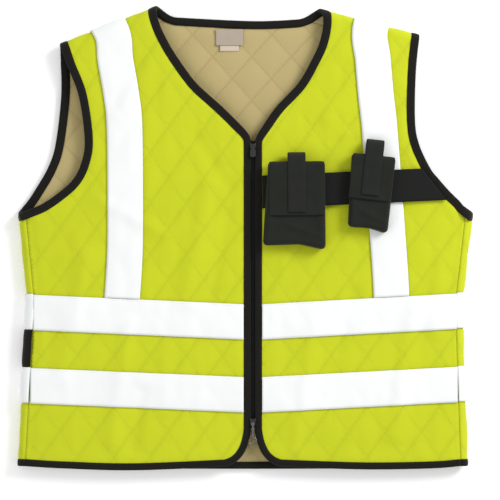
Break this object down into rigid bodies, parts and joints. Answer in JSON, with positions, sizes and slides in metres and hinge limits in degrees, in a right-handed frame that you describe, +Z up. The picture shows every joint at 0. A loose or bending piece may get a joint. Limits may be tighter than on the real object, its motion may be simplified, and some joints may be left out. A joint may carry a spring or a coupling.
{
  "type": "cooling vest",
  "caption": "Zip-front evaporative cooling vest laid flat: quilted high-visibility cloth, beige lining, bound edges, reflective bands, chest band with pouches",
  "frame": {"origin": "middle of the vest's footprint, on the surface it lies on", "axes": "+X to the wearer's left, which is the viewer's right in the picture; +Y from the hem to the shoulders; +Z up out of the front"},
  "size_m": [0.642, 0.655, 0.0492],
  "materials": {
    "quilted_shell": "matt high-visibility yellow polyester, quilted in diamonds",
    "quilted_lining": "matt beige nylon, quilted in diamonds",
    "binding": "black ribbed binding",
    "zip_tape": "black woven zip tape",
    "zip_coil": "black nylon coil",
    "zip_metal": "plated zip slider and pull",
    "zip_puller": "black painted pull",
    "reflective_tape": "silver-white retro-reflective tape",
    "webbing": "black woven webbing",
    "pouch_cloth": "dark grey woven nylon",
    "label_dark": "bare woven label",
    "label_pale": "bare satin size label"
  },
  "bodies": {
    "root": {"back_shell": "quilted_shell", "front_shell_right": "quilted_shell", "front_shell_left": "quilted_shell", "back_lining": "quilted_lining", "front_lining_right": "quilted_lining", "front_lining_left": "quilted_lining", "neck_binding": "binding", "armhole_binding_right": "binding", "armhole_binding_left": "binding", "edge_binding_right": "binding", "edge_binding_left": "binding", "hem_binding_back": "binding", "zip_tape_right": "zip_tape", "zip_tape_left": "zip_tape", "zip_coil": "zip_coil", "zip_slider_bottom": "zip_metal", "zip_slider_top": "zip_metal", "zip_pull_bottom": "zip_metal", "zip_pull_top": "zip_puller", "upper_band_right": "reflective_tape", "upper_band_left": "reflective_tape", "upper_band_back": "reflective_tape", "lower_band_right": "reflective_tape", "lower_band_left": "reflective_tape", "lower_band_back": "reflective_tape", "shoulder_tape_right": "reflective_tape", "shoulder_tape_left": "reflective_tape", "back_tape_right": "reflective_tape", "back_tape_left": "reflective_tape", "chest_band": "webbing", "pouch_body_inner": "pouch_cloth", "pouch_flap_inner": "pouch_cloth", "pouch_strap_inner": "webbing", "pouch_body_outer": "pouch_cloth", "pouch_flap_outer": "pouch_cloth", "pouch_strap_outer": "webbing", "side_tab": "binding", "neck_label": "label_dark", "size_label": "label_pale"}
  },
  "joints": []
}
